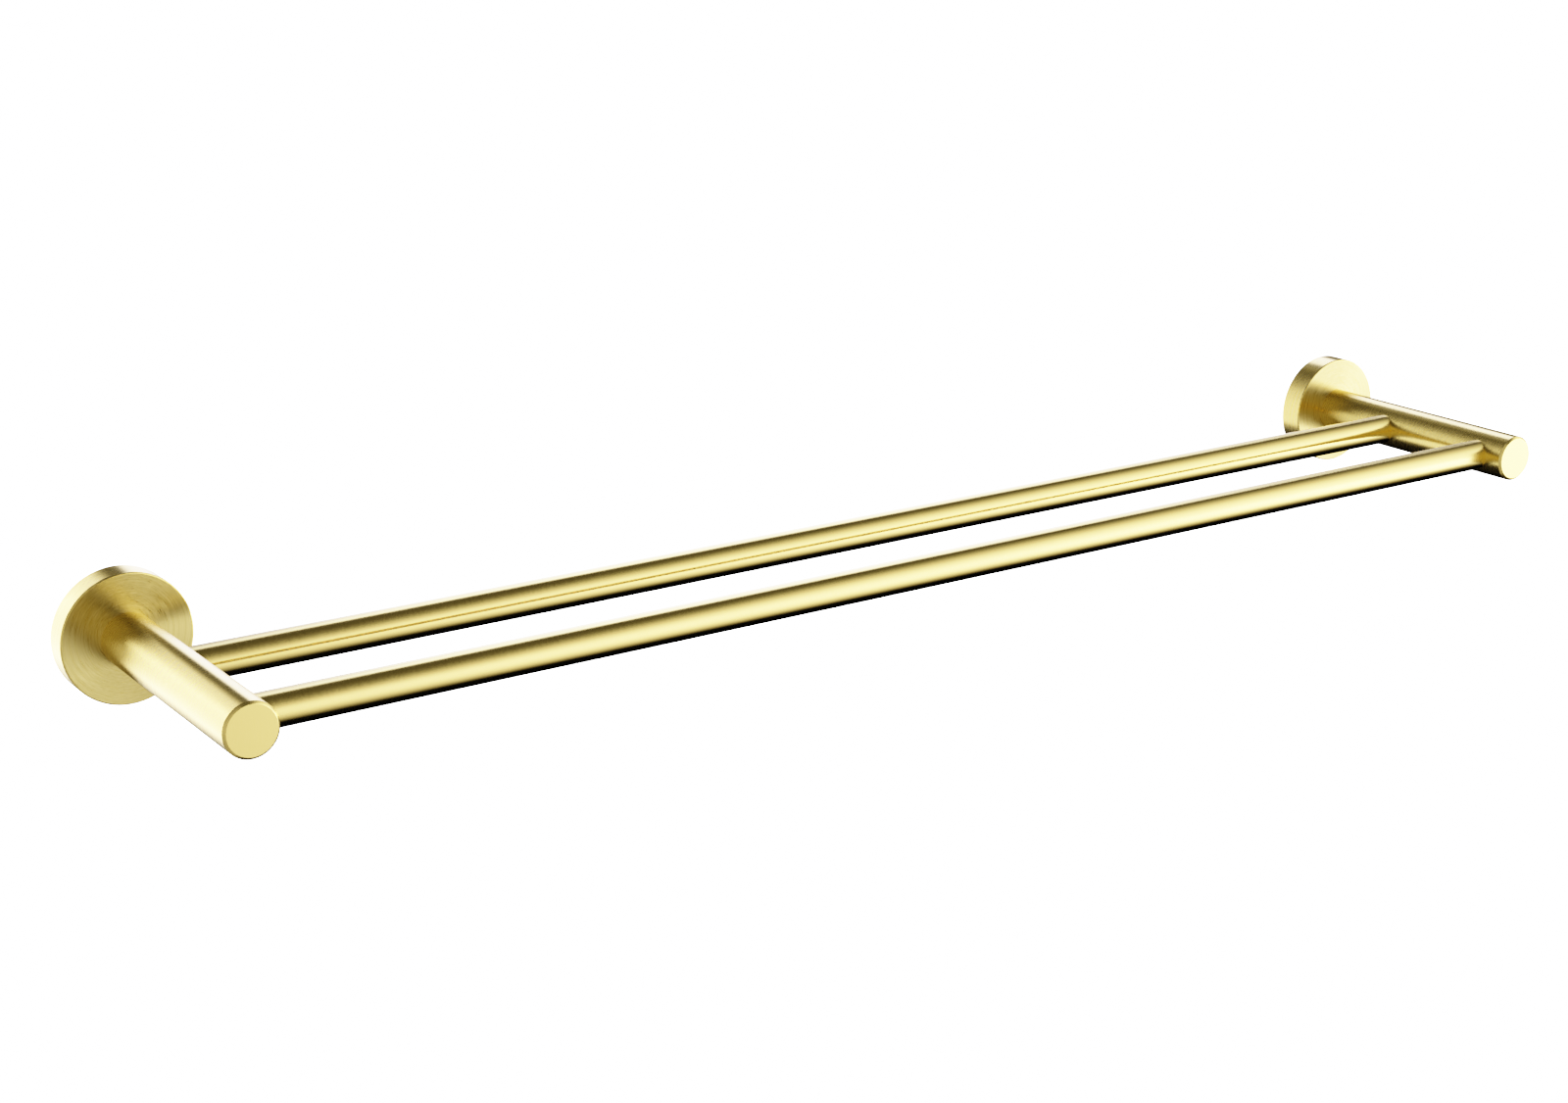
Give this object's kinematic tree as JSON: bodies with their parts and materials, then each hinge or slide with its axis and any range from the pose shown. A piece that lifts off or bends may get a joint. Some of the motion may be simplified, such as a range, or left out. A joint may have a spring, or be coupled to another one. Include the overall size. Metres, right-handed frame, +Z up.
{
  "type": "double towel rail",
  "caption": "Wall-mounted double towel rail: parallel round bars set one in front of the other between round posts on round rosettes, in brushed brass.",
  "frame": {"origin": "on the wall's surface, midway between the two posts and level with their axes", "axes": "+X along the bars, +Y into the wall, +Z up"},
  "size_m": [0.649, 0.12, 0.049],
  "materials": {
    "brushed_brass": "brushed, clear lacquered",
    "plate_steel": "turned, bare stainless",
    "fixing_steel": "bright zinc plated",
    "grub_steel": "blackened",
    "plug_nylon": "moulded, matt"
  },
  "bodies": {
    "root": {"wall_plate_left": "plate_steel", "wall_plate_right": "plate_steel", "rosette_left": "brushed_brass", "rosette_right": "brushed_brass", "rosette_screw_left": "grub_steel", "rosette_screw_right": "grub_steel", "post_left": "brushed_brass", "post_right": "brushed_brass", "post_screw_left": "fixing_steel", "post_screw_right": "fixing_steel", "lock_washer_left": "fixing_steel", "lock_washer_right": "fixing_steel", "locating_pin_left": "fixing_steel", "locating_pin_right": "fixing_steel", "rear_bar": "brushed_brass", "front_bar": "brushed_brass", "plug_rear_left": "plug_nylon", "plug_rear_right": "plug_nylon", "plug_front_left": "plug_nylon", "plug_front_right": "plug_nylon", "bar_screw_rear_left": "grub_steel", "bar_screw_rear_right": "grub_steel", "bar_screw_front_left": "grub_steel", "bar_screw_front_right": "grub_steel"}
  },
  "joints": []
}
